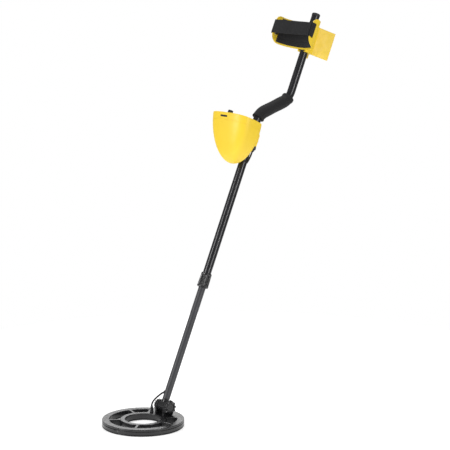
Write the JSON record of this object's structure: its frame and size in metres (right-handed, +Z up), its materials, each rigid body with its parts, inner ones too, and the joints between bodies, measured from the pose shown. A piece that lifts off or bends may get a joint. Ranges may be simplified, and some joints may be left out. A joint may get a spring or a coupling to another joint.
{
  "type": "metal detector",
  "caption": "Hand-held metal detector: spoked round search coil on a telescoping shaft with an S-bent foam handle, egg-shaped control pod and strapped arm cuff.",
  "frame": {"origin": "on the flat underside of the search coil, straight below the coil tilt hinge", "axes": "+Z up from the ground that the coil lies on, -Y forward over the coil, +X to the user's left"},
  "size_m": [0.214, 0.7806, 1.0397],
  "materials": {
    "black_plastic": "satin black moulded plastic",
    "gloss_black": "gloss black painted tube",
    "black_rubber": "matt black rubber",
    "foam": "matt black closed-cell foam",
    "webbing": "black hook-and-loop webbing",
    "yellow_plastic": "smooth bright yellow moulded plastic",
    "panel_grey": "dark grey textured panel",
    "steel": "zinc-plated steel",
    "copper": "enamelled copper wire",
    "clear_window": "clear acrylic",
    "dial": "printed card",
    "board": "green solder mask",
    "battery": "painted steel can"
  },
  "bodies": {
    "coil": {"coil_shell": "black_plastic", "coil_cover": "black_plastic", "transmit_winding": "copper", "receive_winding": "copper", "hinge_bolt": "black_plastic", "hinge_washer_left": "black_rubber", "hinge_washer_right": "black_rubber", "cable_gland": "black_rubber", "coil_cable": "black_rubber"},
    "hinge_knob": {"hinge_knob": "black_plastic"},
    "lower_stem": {"lower_stem": "gloss_black", "stem_foot": "black_plastic", "stem_grommet": "black_rubber", "stem_bush": "black_plastic", "stem_lead": "black_rubber"},
    "lock_nut": {"lock_nut": "black_plastic"},
    "shaft": {"main_tube": "gloss_black", "end_plug": "black_rubber", "foam_grip": "foam", "lock_ferrule": "black_plastic", "lock_collet": "black_rubber", "tube_grommet": "black_rubber", "coiled_lead": "black_rubber", "pod_cable": "black_rubber", "cable_plug": "black_rubber", "coil_socket": "steel", "pod_hull": "yellow_plastic", "pod_bezel": "yellow_plastic", "jack_cover": "black_rubber", "headphone_jack": "black_plastic", "pod_saddle": "yellow_plastic", "pod_clamp": "yellow_plastic", "clamp_screw_1": "steel", "clamp_screw_2": "steel", "control_panel": "panel_grey", "discrimination_control": "steel", "sensitivity_control": "steel", "power_control": "steel", "speaker": "black_plastic", "meter_window": "clear_window", "meter_case": "black_plastic", "meter_dial": "dial", "meter_movement": "copper", "circuit_board": "board", "battery_1": "battery", "battery_2": "battery", "battery_clip": "black_plastic", "cuff_shell": "yellow_plastic", "cuff_pad": "foam", "cuff_bolt": "steel", "cuff_nut": "black_plastic", "cuff_stand": "yellow_plastic", "arm_strap": "webbing"},
    "plug_nut": {"plug_nut": "black_plastic"},
    "discrimination_knob": {"discrimination_knob": "black_plastic"},
    "sensitivity_knob": {"sensitivity_knob": "black_plastic"},
    "power_knob": {"power_knob": "black_plastic"},
    "pinpoint_button": {"pinpoint_button": "black_rubber"},
    "meter_needle": {"meter_needle": "black_plastic"},
    "battery_door": {"battery_door": "yellow_plastic"}
  },
  "joints": [
    {"name": "stem_slide", "type": "slide", "parent": "shaft", "child": "lower_stem", "axis": [0, 0.4226, 0.9063], "range_m": [-0.07, 0.17]},
    {"name": "lock_turn", "type": "hinge", "parent": "shaft", "child": "lock_nut", "pos_m": [0, 0.14707, 0.3534], "axis": [0, 0.4226, 0.9063], "range_deg": [0, 270]},
    {"name": "coil_tilt", "type": "hinge", "parent": "lower_stem", "child": "coil", "pos_m": [0, 0, 0.038], "axis": [1, 0, 0], "range_deg": [-110, 60]},
    {"name": "hinge_knob_turn", "type": "hinge", "parent": "coil", "child": "hinge_knob", "pos_m": [0.024, 0, 0.038], "axis": [1, 0, 0], "range_deg": [0, 360]},
    {"name": "plug_nut_turn", "type": "hinge", "parent": "shaft", "child": "plug_nut", "pos_m": [0.024, 0.30283, 0.69453], "axis": [0, 0.4226, 0.9063], "range_deg": [0, 270]},
    {"name": "discrimination_turn", "type": "hinge", "parent": "shaft", "child": "discrimination_knob", "pos_m": [0.037, 0.24862, 0.77939], "axis": [0, 0.4226, 0.9063], "range_deg": [-150, 150]},
    {"name": "sensitivity_turn", "type": "hinge", "parent": "shaft", "child": "sensitivity_knob", "pos_m": [-0.037, 0.24862, 0.77939], "axis": [0, 0.4226, 0.9063], "range_deg": [-150, 150]},
    {"name": "power_turn", "type": "hinge", "parent": "shaft", "child": "power_knob", "pos_m": [0, 0.23684, 0.78489], "axis": [0, 0.4226, 0.9063], "range_deg": [0, 300]},
    {"name": "pinpoint_press", "type": "slide", "parent": "shaft", "child": "pinpoint_button", "axis": [0, -0.4226, -0.9063], "range_m": [0, 0.0015], "stiffness_N_per_m": 400},
    {"name": "needle_swing", "type": "hinge", "parent": "shaft", "child": "meter_needle", "pos_m": [0, 0.27376, 0.75995], "axis": [0, 0.4226, 0.9063], "range_deg": [-40, 40], "stiffness_Nm_per_rad": 0.0005},
    {"name": "battery_door_open", "type": "hinge", "parent": "shaft", "child": "battery_door", "pos_m": [-0.0463, 0.24634, 0.68932], "axis": [0, -0.9063, 0.4226], "range_deg": [0, 100]}
  ]
}
